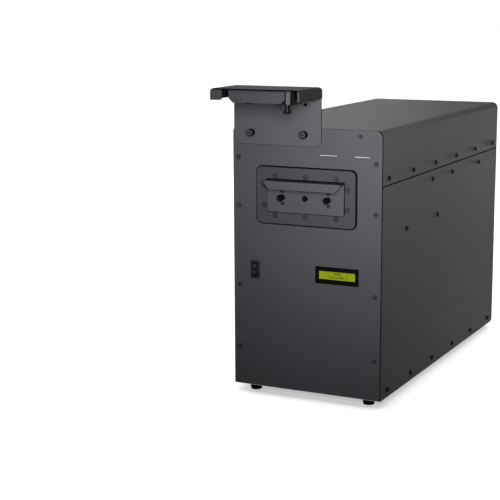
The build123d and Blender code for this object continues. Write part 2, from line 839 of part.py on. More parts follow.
with BuildPart() as capacitor_saddle:
    saddle_width = (capacitor_columns - 1) * capacitor_pitch + 2 * (capacitor_radius + saddle_margin)
    saddle_length = (capacitor_rows - 1) * capacitor_pitch + 2 * (capacitor_radius + saddle_margin)
    saddle_plane = facing_front(bank_y - saddle_length / 2)
    extrude(block(saddle_plane, (0, floor_top + saddle_height / 2), saddle_width, saddle_height),
            amount=-saddle_length)
    extrude(block(saddle_plane, (0, floor_top + (saddle_height - saddle_sheet) / 2),
                  saddle_width - 2 * saddle_sheet, saddle_height - saddle_sheet), amount=-saddle_length,
            mode=Mode.SUBTRACT)
    extrude(discs(Plane.XY.offset(floor_top), bank_spots, capacitor_radius + fitted_gap),
            amount=saddle_height, mode=Mode.SUBTRACT)
finish(capacitor_saddle, "capacitor_saddle")

with BuildPart() as bus_bars:
    for x in bank_x:
        for side in (-1, 1):
            extrude(block(Plane.XY.offset(terminal_top), (x + side * terminal_offset, bank_y), bus_width,
                          (capacitor_rows - 1) * capacitor_pitch + bus_width), amount=bus_thickness)
finish(bus_bars, "bus_bars")

# Charging transformer

with BuildPart() as transformer_core:
    core_front = facing_front(front_y + core_y - core_stack / 2)
    window_wide = (core_width - 4 * core_leg) / 2
    window_high = core_height - 2 * core_leg
    extrude(block(core_front, (0, floor_top + core_height / 2), core_width, core_height), amount=-core_stack)
    for side in (-1, 1):
        extrude(block(core_front, (side * (core_leg + window_wide / 2), floor_top + core_height / 2),
                      window_wide, window_high), amount=-core_stack, mode=Mode.SUBTRACT)
finish(transformer_core, "transformer_core")

with BuildPart() as transformer_coil:
    coil_foot = Plane.XY.offset(floor_top + core_leg)
    extrude(block(coil_foot, (0, front_y + core_y), 2 * (core_leg + window_wide - fitted_gap),
                  core_stack + 2 * winding_reach, winding_reach / 2), amount=window_high - fitted_gap)
    extrude(block(coil_foot, (0, front_y + core_y), 2 * (core_leg + fitted_gap),
                  core_stack + 2 * fitted_gap), amount=window_high, mode=Mode.SUBTRACT)
finish(transformer_coil, "transformer_coil")

# Discharge switch on its heat sink, and the bleed resistors

with BuildPart() as heat_sink:
    extrude(block(Plane.XY.offset(shelf_top), (0, front_y + sink_y), sink_width, sink_length),
            amount=sink_base)
    for side in (-1, 1):
        for i in range(sink_fin_count):
            fin_x = side * (thyristor_land / 2 + sink_fin / 2 + i * sink_fin_pitch)
            extrude(block(Plane.XY.offset(shelf_top + sink_base), (fin_x, front_y + sink_y), sink_fin,
                          sink_length), amount=sink_fin_height)
finish(heat_sink, "heat_sink")

with BuildPart() as thyristor:
    with BuildSketch(Plane.XY):
        Circle(thyristor_radius)
    extrude(amount=thyristor_height)
    with BuildSketch(Plane.XY.offset(thyristor_height)):
        Circle(thyristor_cap_radius)
    extrude(amount=thyristor_cap_height)
thyristor_spots = [(0, front_y + sink_y + side * thyristor_spacing / 2) for side in (-1, 1)]
finish(placed(thyristor, Plane.XY.offset(shelf_top + sink_base), thyristor_spots), "thyristors")

with BuildPart() as resistor:
    resistor_axis = resistor_lift + resistor_radius
    extrude(discs(Plane.YZ, [(0, resistor_axis)], resistor_radius), amount=resistor_length / 2, both=True)
    for side in (-1, 1):
        extrude(block(Plane.XY, (side * (resistor_length - resistor_foot) / 2, 0), resistor_foot,
                      resistor_radius), amount=resistor_axis)
resistor_spots = [(0, front_y + resistor_y + (i - (resistor_count - 1) / 2) * resistor_spacing)
                  for i in range(resistor_count)]
finish(placed(resistor, Plane.XY.offset(shelf_top), resistor_spots), "bleed_resistors")

# Display

with BuildPart() as lcd_frame:
    extrude(block(facing_front(front_y), lcd_centre, lcd_width, lcd_height, lcd_corner), amount=lcd_proud)
    extrude(block(facing_front(front_y), lcd_centre, lcd_sleeve_width, lcd_sleeve_height),
            amount=front_y - lcd_back)
    extrude(block(facing_front(front_y - lcd_proud), lcd_centre, window_width, window_height),
            amount=front_y - lcd_proud - lcd_back, mode=Mode.SUBTRACT)
finish(lcd_frame, "lcd_frame")

with BuildPart() as lcd_window:
    extrude(block(facing_front(window_back), lcd_centre, window_width - 2 * fitted_gap,
                  window_height - 2 * fitted_gap), amount=window_thickness)
finish(lcd_window, "lcd_window")

with BuildPart() as lcd_module:
    extrude(block(facing_front(window_back), lcd_centre, window_width - 2 * fitted_gap,
                  window_height - 2 * fitted_gap), amount=window_back - lcd_back)
    extrude(block(facing_front(lcd_back), lcd_centre, lcd_sleeve_width, lcd_sleeve_height),
            amount=-module_thickness)
    extrude(block(facing_front(lcd_back + module_thickness), lcd_centre, module_width, module_height),
            amount=-module_board)
finish(lcd_module, "lcd_module")

# Rocker switch: the body with its flange, and the rocker on two pins

with BuildPart() as switch_body:
    extrude(block(facing_front(front_y), switch_centre, switch_width, switch_height, switch_corner),
            amount=switch_flange)
    extrude(block(facing_front(front_y), switch_centre, switch_body_width, switch_body_height),
            amount=-panel_thickness - switch_depth)
    extrude(block(facing_front(switch_face), switch_centre, rocker_width + 2 * rocker_side_gap,
                  rocker_cavity_height), amount=-rocker_cavity_depth, mode=Mode.SUBTRACT)
    extrude(discs(Plane.YZ.offset(switch_x), [rocker_pivot], rocker_pin_radius + running_clearance),
            amount=rocker_width / 2 + rocker_side_gap + rocker_pin_length, both=True, mode=Mode.SUBTRACT)
finish(switch_body, "switch_body")

with BuildPart() as switch_rocker:
    pivot_plane = Plane(origin=(switch_x, *rocker_pivot), x_dir=(0, 1, 0), z_dir=(1, 0, 0))
    with BuildSketch(pivot_plane * Rot(0, 0, -rocker_tilt)) as rocker_section:
        with BuildLine():
            half = rocker_height / 2
            half_back = rocker_back_height / 2
            end_face = -rocker_pin_depth - rocker_end
            Polyline((-rocker_pin_depth - rocker_hollow, 0), (end_face, half), (0, half),
                     (rocker_back, half_back), (rocker_back, -half_back), (0, -half), (end_face, -half),
                     close=True)
        make_face()
        fillet(rocker_section.vertices().group_by(Axis.X)[0], rocker_edge)
    extrude(amount=rocker_width / 2, both=True)
    extrude(discs(Plane.YZ.offset(switch_x), [rocker_pivot], rocker_pin_radius),
            amount=rocker_width / 2 + rocker_side_gap + rocker_pin_length - sliding_clearance, both=True)
finish(switch_rocker, "switch_rocker")

# Control board on its stand-offs

board_spots = [(i * (board_width / 2 - board_inset),
                panel_bottom + board_z + j * (board_height / 2 - board_inset))
               for i in (-1, 1) for j in (-1, 1)]
with BuildPart() as board_standoffs:
    extrude(discs(facing_front(panel_back), board_spots, standoff_radius), amount=-standoff_length)
finish(board_standoffs, "board_standoffs")

with BuildPart() as control_board:
    extrude(block(facing_front(board_front), (0, panel_bottom + board_z), board_width, board_height),
            amount=-board_thickness)
    for i in range(relay_count):
        relay_x = (i - (relay_count - 1) / 2) * relay_pitch
        extrude(block(facing_front(board_front + board_thickness), (relay_x, panel_bottom + board_z),
                      relay_size, relay_size), amount=-relay_height)
finish(control_board, "control_board")

# Rear fan: frame with its bearing boss, rotor and guard

with BuildPart() as fan_frame:
    extrude(block(facing_front(fan_front), fan_centre, fan_size, fan_size, fan_corner), amount=-fan_depth)
    extrude(discs(facing_front(fan_front), [fan_centre], fan_bore), amount=-fan_depth, mode=Mode.SUBTRACT)
    strut_length = 2 * fan_bore + fan_strut_width
    for strut in ((strut_length, fan_strut_width), (fan_strut_width, strut_length)):
        extrude(block(facing_front(fan_front), fan_centre, *strut), amount=-fan_boss_depth)
    extrude(discs(facing_front(fan_front), [fan_centre], fan_boss_radius), amount=-fan_boss_depth)
    extrude(discs(facing_front(fan_front), [fan_centre], fan_shaft_radius + running_clearance),
            amount=-fan_boss_depth, mode=Mode.SUBTRACT)
    extrude(discs(facing_front(fan_front), guard_spots, fan_screw_radius), amount=-fan_depth,
            mode=Mode.SUBTRACT)
finish(fan_frame, "fan_frame")

with BuildPart() as fan_rotor:
    hub_front = fan_front + fan_boss_depth + fan_hub_gap
    blade_reach = fan_bore - fan_blade_gap
    extrude(discs(facing_front(hub_front), [fan_centre], fan_hub_radius), amount=-fan_hub_depth)
    extrude(discs(facing_front(fan_front), [fan_centre], fan_shaft_radius),
            amount=-fan_boss_depth - fan_hub_gap)
    with Locations(facing_front(hub_front + fan_hub_depth / 2) * Pos(*fan_centre)):
        with PolarLocations((fan_hub_radius + blade_reach) / 2 - fan_blade_thickness, fan_blade_count):
            Box(blade_reach - fan_hub_radius + fan_blade_thickness, fan_blade_thickness, fan_blade_depth,
                rotation=(fan_blade_tilt, 0, 0))
finish(fan_rotor, "fan_rotor")

with BuildPart() as fan_guard:
    with BuildSketch(facing_rear(rear_y)):
        with Locations((-fan_centre[0], fan_centre[1])):
            for i in reversed(range(guard_ring_count)):
                ring = guard_ring_first + i * guard_ring_pitch
                Circle(ring + guard_wire)
                Circle(ring - guard_wire, mode=Mode.SUBTRACT)
            for turn in (45, -45):
                Rectangle(guard_screw_pitch * 2 ** 0.5, 2 * guard_wire, rotation=turn)
            with GridLocations(guard_screw_pitch, guard_screw_pitch, 2, 2):
                Circle(guard_tab_radius)
                Circle(shank_hole, mode=Mode.SUBTRACT)
    extrude(amount=guard_thickness)
finish(fan_guard, "fan_guard")

# Mains inlet: flanged body with a recess and its pins

with BuildPart() as mains_inlet:
    extrude(block(facing_front(inlet_face), inlet_centre, inlet_width + 2 * inlet_flange_margin,
                  inlet_height + 2 * inlet_flange_margin, inlet_flange_corner), amount=inlet_flange)
    extrude(block(facing_front(rear_y), inlet_centre, inlet_width, inlet_height), amount=inlet_depth)
    extrude(block(facing_front(inlet_face), inlet_centre, inlet_recess_width, inlet_recess_height),
            amount=inlet_recess_depth, mode=Mode.SUBTRACT)
    pin_spots = [(inlet_x + side * inlet_pin_spacing / 2, inlet_centre[1] - inlet_pin_drop)
                 for side in (-1, 1)]
    pin_spots.append((inlet_x, inlet_centre[1] + inlet_earth_rise))
    for spot in pin_spots:
        extrude(block(facing_front(inlet_face - inlet_recess_depth), spot, inlet_pin_thickness,
                      inlet_pin_height), amount=-inlet_pin_length)
    with Locations(*[facing_rear(inlet_face) * Pos(-x, z) for x, z in inlet_spots]):
        CounterSinkHole(shank_hole, sunk_head_radius, inlet_flange, sunk_head_angle)
finish(mains_inlet, "mains_inlet")

# Camera bracket with its two thumb knobs

with BuildPart() as camera_bracket:
    plate_bottom = panel_bottom + bracket_bottom
    lower_height = hood_side_bottom - sliding_clearance - plate_bottom
    inside_width = bracket_width - 2 * (hood_sheet + sliding_clearance)
    with BuildSketch(facing_front(bracket_face)) as lower_plate:
        with Locations((bracket_x, plate_bottom)):
            Rectangle(bracket_width, lower_height, align=(Align.CENTER, Align.MIN))
        fillet(lower_plate.vertices().group_by(Axis.Y)[0], bracket_corner)
    extrude(amount=-bracket_plate)
    with BuildSketch(facing_front(bracket_face)):
        with Locations((bracket_x, plate_bottom + lower_height)):
            Rectangle(inside_width, hood_z - hood_bend - plate_bottom - lower_height,
                      align=(Align.CENTER, Align.MIN))
    extrude(amount=-bracket_plate)
    extrude(discs(facing_front(bracket_face), knob_spots, knob_stem_radius + running_clearance),
            amount=-bracket_plate, mode=Mode.SUBTRACT)
    extrude(discs(facing_front(bracket_face), hood_screw_spots, shank_hole), amount=-bracket_plate,
            mode=Mode.SUBTRACT)
finish(camera_bracket, "camera_bracket")

with BuildPart() as knob:
    with BuildSketch(Plane.XY):
        Circle(knob_step_radius)
    extrude(amount=knob_step_length)
    with BuildSketch(Plane.XY.offset(knob_step_length)):
        Circle(knob_radius)
    extrude(amount=knob_length - knob_step_length)
    chamfer(knob.edges().group_by(Axis.Z)[-1], knob_edge)
    with BuildSketch(Plane.XY.offset(knob_step_length)):
        with PolarLocations(knob_radius, knob_groove_count):
            Circle(knob_groove_radius)
    extrude(amount=knob_length - knob_step_length, mode=Mode.SUBTRACT)
    with BuildSketch(Plane.XY.offset(knob_length)):
        RegularPolygon(knob_socket_radius, 6)
    extrude(amount=-knob_socket_depth, mode=Mode.SUBTRACT)
    with BuildSketch(Plane.XY):
        Circle(knob_stem_radius)
    extrude(amount=-knob_stem_length)
for name, spot in zip(("knob_left", "knob_right"), knob_spots):
    finish(placed(knob, facing_front(bracket_face - sliding_clearance), [spot]), name)

# Camera hood: a bent sheet, open below, with lips at the ends of its open front and a deeper rear flange

with BuildPart() as hood_space:
    extrude(block(Plane.XY.offset(hood_side_bottom), (bracket_x, (hood_front + hood_sheet + front_y) / 2),
                  bracket_width - 2 * hood_sheet, hood_reach - hood_sheet), amount=hood_side_drop - hood_sheet)
    fillet(hood_space.edges().group_by(Axis.Z)[-1].sort_by(Axis.Y)[1:], hood_bend - hood_sheet)

with BuildPart() as camera_hood:
    extrude(block(Plane.XY.offset(hood_side_bottom), (bracket_x, (hood_front + front_y + hood_sheet) / 2),
                  bracket_width, hood_reach + hood_sheet), amount=hood_side_drop)
    fillet(camera_hood.edges().group_by(Axis.Z)[-1].sort_by(Axis.Y)[1:], hood_bend)
    add(hood_space.part, mode=Mode.SUBTRACT)
    opening_centre = (bracket_x + (hood_lip_left - hood_lip_right) / 2, hood_under - hood_side_drop / 2)
    opening_width = bracket_width - hood_lip_left - hood_lip_right
    extrude(block(facing_front(hood_front), opening_centre, opening_width, hood_side_drop),
            amount=-hood_sheet, mode=Mode.SUBTRACT)
    lip_corners = [e for e in camera_hood.edges().filter_by(Axis.Y).group_by(Axis.Z)[0]
                   if e.length < 2 * hood_sheet]
    fillet(min(lip_corners, key=lambda e: e.center().X), hood_lip_corner)
    rear_drop = hood_rear_drop - hood_side_drop
    extrude(block(facing_front(front_y), (bracket_x, hood_side_bottom - rear_drop / 2),
                  bracket_width - 2 * hood_rear_margin, rear_drop), amount=-hood_sheet)
    extrude(discs(facing_front(front_y), hood_screw_spots, shank_hole), amount=-hood_sheet,
            mode=Mode.SUBTRACT)
finish(camera_hood, "camera_hood")

finish(placed(cap_screw, facing_front(bracket_face), hood_screw_spots), "hood_screws")

with BuildPart() as name_plate:
    with BuildSketch(facing_front(name_plate_face)) as plate_outline:
        with Locations((bracket_x, hood_under)):
            Rectangle(name_plate_width, name_plate_height, align=(Align.CENTER, Align.MAX))
        chamfer(plate_outline.vertices().group_by(Axis.Y)[0], name_plate_cut)
    extrude(amount=-name_plate_thickness)
finish(name_plate, "name_plate")

# Camera: body against the hood, lens barrel pointing down, and its glass

with BuildPart() as camera_body:
    extrude(block(Plane.XY.offset(camera_bottom), (camera_x, camera_front + camera_depth / 2), camera_width,
                  camera_depth), amount=camera_height)
    fillet(camera_body.edges().filter_by(Axis.Z), camera_edge)
finish(camera_body, "camera_body")

with BuildPart() as camera_lens:
    waist_z = camera_bottom - lens_mount_length
    ring_z = waist_z - lens_waist_length
    lens_end = ring_z - lens_ring_length
    for top, radius, length in ((camera_bottom, lens_mount_radius, lens_mount_length),
                                (waist_z, lens_waist_radius, lens_waist_length),
                                (ring_z, lens_ring_radius, lens_ring_length)):
        extrude(discs(Plane.XY.offset(top), [(camera_x, lens_y)], radius), amount=-length)
    extrude(discs(Plane.XY.offset(lens_end), [(camera_x, lens_y)], lens_bore_radius), amount=lens_bore_depth,
            mode=Mode.SUBTRACT)
finish(camera_lens, "camera_lens")

with BuildPart() as lens_glass:
    extrude(discs(Plane.XY.offset(lens_end + lens_bore_depth), [(camera_x, lens_y)],
                  lens_bore_radius - running_clearance), amount=-lens_glass_thickness)
    fillet(lens_glass.edges().group_by(Axis.Z)[0], lens_glass_round)
finish(lens_glass, "lens_glass")
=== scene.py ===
import json
import math

import bmesh
import bpy
from mathutils import Matrix, Vector

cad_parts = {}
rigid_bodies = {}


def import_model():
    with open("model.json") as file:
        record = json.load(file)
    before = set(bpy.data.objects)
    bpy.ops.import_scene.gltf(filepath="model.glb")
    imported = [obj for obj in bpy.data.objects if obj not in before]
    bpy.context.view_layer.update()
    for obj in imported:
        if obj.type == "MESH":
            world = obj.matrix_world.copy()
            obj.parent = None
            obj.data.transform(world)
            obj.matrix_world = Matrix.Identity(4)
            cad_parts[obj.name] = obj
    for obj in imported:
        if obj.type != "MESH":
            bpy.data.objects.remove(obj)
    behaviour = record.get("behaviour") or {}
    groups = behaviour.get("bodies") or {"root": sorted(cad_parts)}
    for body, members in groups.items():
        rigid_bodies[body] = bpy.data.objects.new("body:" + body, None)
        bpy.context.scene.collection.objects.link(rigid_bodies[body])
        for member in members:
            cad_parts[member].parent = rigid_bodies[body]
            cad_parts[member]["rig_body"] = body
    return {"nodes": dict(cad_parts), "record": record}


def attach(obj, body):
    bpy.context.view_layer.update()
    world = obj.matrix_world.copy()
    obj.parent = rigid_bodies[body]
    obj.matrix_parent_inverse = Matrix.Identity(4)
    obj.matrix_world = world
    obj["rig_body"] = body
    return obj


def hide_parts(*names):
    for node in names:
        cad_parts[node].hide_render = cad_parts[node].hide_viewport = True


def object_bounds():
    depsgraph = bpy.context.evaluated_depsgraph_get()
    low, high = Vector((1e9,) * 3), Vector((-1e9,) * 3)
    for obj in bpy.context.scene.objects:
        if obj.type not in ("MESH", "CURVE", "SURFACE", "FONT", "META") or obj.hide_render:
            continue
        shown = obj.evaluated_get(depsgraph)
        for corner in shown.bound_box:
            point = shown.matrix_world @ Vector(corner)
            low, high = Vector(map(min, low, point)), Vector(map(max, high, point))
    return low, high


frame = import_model()
cad_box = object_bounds()
nodes = frame["nodes"]
MM = 0.001

# Camera, as a turn to the right, a tilt down and a small roll about the line of sight
CAMERA_PLACE = (0.91676, -2.28875, 0.68312)
CAMERA_YAW = math.radians(26.900)
CAMERA_PITCH = math.radians(10.814)
CAMERA_ROLL = math.radians(-0.3352)
CAMERA_LENS = 96.79

# Finishes, linear colours
PANEL_GREY = (0.071, 0.073, 0.081)
CASE_GREY = (0.060, 0.060, 0.061)
SURROUND_GREY = (0.054, 0.056, 0.063)
DRAWER_GREY = (0.074, 0.076, 0.085)
BRACKET_GREY = (0.080, 0.082, 0.090)
HOOD_GREY = (0.058, 0.059, 0.063)
SCREW_BLACK = (0.003, 0.003, 0.0034)
MOULDED_BLACK = (0.006, 0.006, 0.0065)
RUBBER_BLACK = (0.003, 0.003, 0.0033)
STEEL = (0.56, 0.57, 0.58)
COPPER = (0.60, 0.25, 0.12)
LCD_GLOW = (0.250, 0.305, 0.004)
INK_WHITE = (0.50, 0.51, 0.52)

# Turn of a ring or figure that faces the front, and the scale that makes a ring flat
UPRIGHT = (math.radians(90), 0, 0)
FLATTENED = (1, 1, 0.2)

# Rocker: its hinge, its lean at rest, the tilt of its two faces, and where its marks lie in millimetres
ROCKER_PIVOT = next(Vector(joint["pos_m"]) for joint in frame["record"]["behaviour"]["joints"]
                    if joint["name"] == "rocker_hinge")
ROCKER_LEAN = math.radians(-11.0)
ROCKER_FACE = math.atan2(2.2, 11.0)
MARK_DEPTH = 6.13
MARK_RISE = 5.5


class Wire:
    """A socket in a node tree. Sums on wires add Math nodes to the tree."""

    def __init__(self, tree, socket):
        self.tree = tree
        self.socket = socket

    def combine(self, operation, first, second):
        return add_node(self.tree, "ShaderNodeMath", {"operation": operation}, {0: first, 1: second})

    def __add__(self, other):
        return self.combine("ADD", self, other)

    def __radd__(self, other):
        return self.combine("ADD", other, self)

    def __sub__(self, other):
        return self.combine("SUBTRACT", self, other)

    def __rsub__(self, other):
        return self.combine("SUBTRACT", other, self)

    def __mul__(self, other):
        return self.combine("MULTIPLY", self, other)

    def __rmul__(self, other):
        return self.combine("MULTIPLY", other, self)

    def __truediv__(self, other):
        return self.combine("DIVIDE", self, other)

    def __rtruediv__(self, other):
        return self.combine("DIVIDE", other, self)

    def __gt__(self, other):
        return self.combine("GREATER_THAN", self, other)

    def __lt__(self, other):
        return self.combine("LESS_THAN", self, other)

    def __abs__(self):
        return self.combine("ABSOLUTE", self, 0.0)

    def __mod__(self, other):
        return self.combine("FLOORED_MODULO", self, other)

    def __or__(self, other):
        return self.combine("MAXIMUM", self, other)


def add_node(tree, kind, settings=None, sockets=None, out=0):
    """Add a node, its settings first and then the values or wires of its sockets, and return one output."""
    node = tree.nodes.new(kind)
    for name, value in (settings or {}).items():
        if name == "stops":
            set_stops(node.color_ramp, value)
        else:
            setattr(node, name, value)
    for key, value in (sockets or {}).items():
        if isinstance(value, Wire):
            tree.links.new(value.socket, node.inputs[key])
        else:
            node.inputs[key].default_value = value
    return Wire(tree, node.outputs[out])


def set_stops(ramp, stops):
    """Give a colour ramp its stops, each a place and a grey level."""
    while len(ramp.elements) < len(stops):
        ramp.elements.new(0.5)
    for element, (place, level) in zip(ramp.elements, stops):
        element.position = place
        element.color = (level, level, level, 1)


def mix_colours(tree, factor, first, second):
    """A colour between two, each a tuple or a wire."""
    first = first if isinstance(first, Wire) else (*first, 1)
    second = second if isinstance(second, Wire) else (*second, 1)
    return add_node(tree, "ShaderNodeMix", {"data_type": "RGBA"}, {0: factor, 6: first, 7: second}, 2)


def background_rays(tree):
    """How far a ray shows the background: fully from the camera or through glass, dimmer off gloss."""
    camera, glossy, through = (add_node(tree, "ShaderNodeLightPath", None, None, out)
                               for out in ("Is Camera Ray", "Is Glossy Ray", "Is Transmission Ray"))
    return camera | through | glossy * 0.45


class Finish:
    """A material with one Principled shader. Constants go on its sockets, wires are linked to them."""

    def __init__(self, name, **constants):
        self.material = bpy.data.materials.new(name)
        self.material.use_nodes = True
        self.tree = self.material.node_tree
        self.shader = self.tree.nodes["Principled BSDF"]
        self.set(**constants)
        self.place = self.node("ShaderNodeTexCoord", out="Object")

    def set(self, **sockets):
        """Set sockets by their names with underscores for spaces, by a value or a wire."""
        for key, value in sockets.items():
            socket = self.shader.inputs[key.replace("_", " ")]
            if isinstance(value, Wire):
                self.tree.links.new(value.socket, socket)
            else:
                socket.default_value = (*value, 1) if isinstance(value, tuple) else value

    def node(self, kind, settings=None, sockets=None, out=0):
        return add_node(self.tree, kind, settings, sockets, out)

    def part_of(self, vector, letter):
        return self.node("ShaderNodeSeparateXYZ", None, {0: vector}, letter)

    def axis(self, letter):
        """The place along one axis, in metres."""
        return self.part_of(self.place, letter)

    def slope(self, letter):
        """How far the surface faces along one axis, from -1 to 1."""
        return self.part_of(self.node("ShaderNodeTexCoord", out="Normal"), letter)

    def between(self, letter, low, high):
        """One between two places along an axis, else zero."""
        place = self.axis(letter)
        return (place > low) * (place < high)

    def stretched(self, scale):
        """The place with each axis scaled by its own factor."""
        return self.node("ShaderNodeMapping", None, {"Vector": self.place, "Scale": scale})

    def noise(self, scale, detail=2.0, roughness=0.5, place=None):
        sockets = {"Vector": place or self.place, "Scale": scale, "Detail": detail, "Roughness": roughness}
        return self.node("ShaderNodeTexNoise", None, sockets, "Fac")

    def cells(self, scale, out="Distance"):
        return self.node("ShaderNodeTexVoronoi", None, {"Vector": self.place, "Scale": scale}, out)

    def bands(self, direction, pitch, distortion=0.0):
        """Smooth waves along an axis, one each pitch."""
        settings = {"wave_type": "BANDS", "bands_direction": direction}
        sockets = {"Vector": self.place, "Scale": math.pi / 10 / pitch, "Distortion": distortion}
        return self.node("ShaderNodeTexWave", settings, sockets, "Fac")

    def ramp(self, value, *stops):
        return self.node("ShaderNodeValToRGB", {"stops": stops}, {"Fac": value}, "Color")

    def mix(self, factor, first, second):
        return mix_colours(self.tree, factor, first, second)

    def bump(self, height, strength, distance):
        self.set(Normal=self.node("ShaderNodeBump", None,
                                  {"Strength": strength, "Distance": distance, "Height": height}))


def shade(colour, factor):
    return tuple(channel * factor for channel in colour)


def powder_coat(name, colour, roughness=0.5, axis="Y", across=1.0, facing=1.0, shade_above=None):
    """Baked powder paint with a sandy grain and pale specks.

    Faces that lie across an axis, or that face along it, are darkened towards black by the levels across and
    facing, and faces that face it above a height go near black: painted shade on sheet edges, gaps and
    turned faces."""
    coat = Finish(name, Specular_IOR_Level=0.04)
    grain = coat.noise(1500, 3.0, 0.6)
    pebbles = coat.cells(1100)
    cloud = coat.noise(7, 4.0, 0.55)
    speck = coat.ramp(coat.noise(2600, 1.0, 0.5), (0.62, 0.0), (0.74, 1.0))
    mottle = coat.noise(320, 2.0, 0.6)
    tone = coat.mix(grain * 0.3 + mottle * 0.4 + cloud * 0.3, shade(colour, 0.8), shade(colour, 1.2))
    tone = coat.mix(speck * 0.2, tone, shade(colour, 1.9))
    # Painted shade: faces across the axis take a near-black colour in place of the paint's tone
    edge_shade = coat.ramp(abs(coat.slope(axis)), (0.6, across), (0.92, facing))
    # Painted shade: front faces above the height, such as the hood's top edge, go near black
    if shade_above is not None:
        edge_shade = edge_shade * (1.0 - (coat.axis("Z") > shade_above) * (coat.slope(axis) < -0.6))
    coat.set(Base_Color=coat.mix(edge_shade, shade(colour, 0.02), tone))
    coat.set(Roughness=roughness - 0.06 + grain * 0.08 + cloud * 0.08)
    coat.bump(grain * 0.6 + pebbles * 0.4, 0.28, 0.00025)
    return coat.material


def black_oxide(name, colour=SCREW_BLACK):
    """Blackened steel with rubbed, slightly brighter patches."""
    steel = Finish(name, Specular_IOR_Level=0.04)
    rub = steel.noise(260, 4.0, 0.6)
    steel.set(Base_Color=steel.mix(steel.ramp(rub, (0.5, 0.0), (0.75, 1.0)), colour, shade(colour, 2.6)))
    steel.set(Roughness=0.3 + rub * 0.25)
    steel.bump(steel.noise(2400, 2.0), 0.12, 0.0001)
    return steel.material


def painted_screw(name, node, colour, steep):
    """A blackened screw with paint left on its outer face, which slopes less than a limit; the black left on
    its steeper rim and in its socket also serves as painted shade.
    """
    screw = Finish(name, Specular_IOR_Level=0.06)
    # Painted shade: only the face turned to the front keeps paint, so the rim and socket read dark
    outer = (screw.slope("Y") < -steep) * (screw.axis("Y") < span(node)[0].y + 0.9 * MM)
    wear = screw.noise(700, 3.0, 0.6)
    screw.set(Base_Color=screw.mix(outer * (0.7 + wear * 0.5), SCREW_BLACK, colour))
    screw.set(Roughness=0.4 + wear * 0.2)
    screw.bump(wear, 0.15, 0.0001)
    return screw.material


def moulded(name, colour, roughness=0.4, texture=0.2, shine=0.1):
    """Moulded plastic with a fine spark-eroded texture."""
    plastic = Finish(name, Specular_IOR_Level=shine)
    fine = plastic.noise(3200, 2.0, 0.6)
    broad = plastic.noise(30, 3.0)
    plastic.set(Base_Color=plastic.mix(broad, shade(colour, 0.85), shade(colour, 1.2)))
    plastic.set(Roughness=roughness - 0.05 + broad * 0.08 + fine * 0.05)
    plastic.bump(fine, texture, 0.0001)
    return plastic.material


def rubber(name, colour=RUBBER_BLACK):
    """Matt rubber with a dusty bloom."""
    skin = Finish(name, Specular_IOR_Level=0.04)
    bloom = skin.noise(55, 5.0, 0.65)
    skin.set(Base_Color=skin.mix(skin.ramp(bloom, (0.4, 0.0), (0.8, 1.0)), colour, shade(colour, 2.4)))
    skin.set(Roughness=0.66 + bloom * 0.2)
    skin.bump(skin.noise(1800, 3.0), 0.25, 0.00012)
    return skin.material


def drawn_metal(name, colour, roughness, stretch):
    """Metal with fine lines along the axis that the stretch leaves long."""
    metal = Finish(name, Metallic=1.0)
    lines = metal.noise(1.0, 3.0, 0.6, metal.stretched(stretch))
    stain = metal.noise(14, 4.0)
    metal.set(Base_Color=metal.mix(lines * 0.6 + stain * 0.4, shade(colour, 0.8), shade(colour, 1.12)))
    metal.set(Roughness=roughness - 0.08 + lines * 0.16 + stain * 0.05)
    metal.bump(lines, 0.1, 0.00008)
    return metal.material


def zinc_sheet(name, colour):
    """Plated sheet with a faint crystal pattern."""
    sheet = Finish(name, Metallic=1.0)
    spangle = sheet.part_of(sheet.cells(90, "Color"), "X")
    haze = sheet.noise(25, 4.0)
    sheet.set(Base_Color=sheet.mix(spangle * 0.5 + haze * 0.5, shade(colour, 0.72), shade(colour, 1.1)))
    sheet.set(Roughness=0.28 + spangle * 0.14 + haze * 0.1)
    sheet.bump(sheet.noise(900, 2.0), 0.06, 0.0001)
    return sheet.material


def knob_black(name, node):
    """Black anodised knob with a turned, paler middle on its front face."""
    knob = Finish(name, Specular_IOR_Level=0.08)
    across = knob.axis("X") - middle_of(node).x
    rise = knob.axis("Z") - middle_of(node).z
    face = (knob.slope("Y") < -0.97) * (across * across + rise * rise < (4.7 * MM) ** 2)
    fine = knob.noise(900, 3.0)
    knob.set(Base_Color=knob.mix(face * (0.7 + fine * 0.6), SCREW_BLACK, (0.055, 0.057, 0.060)))
    knob.set(Roughness=0.26 + fine * 0.2)
    knob.bump(fine, 0.1, 0.00008)
    return knob.material


def wound_wire(name, direction, pitch):
    """Enamelled copper wire, one band for each turn."""
    wire = Finish(name, Metallic=0.85)
    turns = wire.bands(direction, pitch, 0.4)
    tint = wire.noise(60, 3.0)
    wire.set(Base_Color=wire.mix(turns * 0.6 + tint * 0.4, shade(COPPER, 0.3), COPPER))
    wire.set(Roughness=0.24 + tint * 0.2)
    wire.bump(turns, 0.7, 0.0004)
    return wire.material


def phenolic_board(name, colour):
    """Pressed board with a fibre weave."""
    board = Finish(name, Specular_IOR_Level=0.35)
    fibre = board.noise(1.0, 4.0, 0.6, board.stretched((300, 40, 300)))
    mottle = board.noise(90, 3.0)
    board.set(Base_Color=board.mix(fibre * 0.6 + mottle * 0.4, shade(colour, 0.62), shade(colour, 1.2)))
    board.set(Roughness=0.42 + fibre * 0.2)
    board.bump(fibre, 0.2, 0.0002)
    return board.material


def laminated_steel(name, pitch):
    """Stacked core sheets, seen as bands along the depth."""
    core = Finish(name, Metallic=0.8)
    sheets = core.bands("Y", pitch)
    rust = core.ramp(core.noise(40, 5.0, 0.65), (0.5, 0.0), (0.72, 1.0))
    core.set(Base_Color=core.mix(rust * 0.7, core.mix(sheets, (0.10, 0.10, 0.11), (0.24, 0.24, 0.25)),
                                 (0.12, 0.055, 0.03)))
    core.set(Roughness=0.4 + rust * 0.3)
    core.bump(sheets, 0.5, 0.0002)
    return core.material


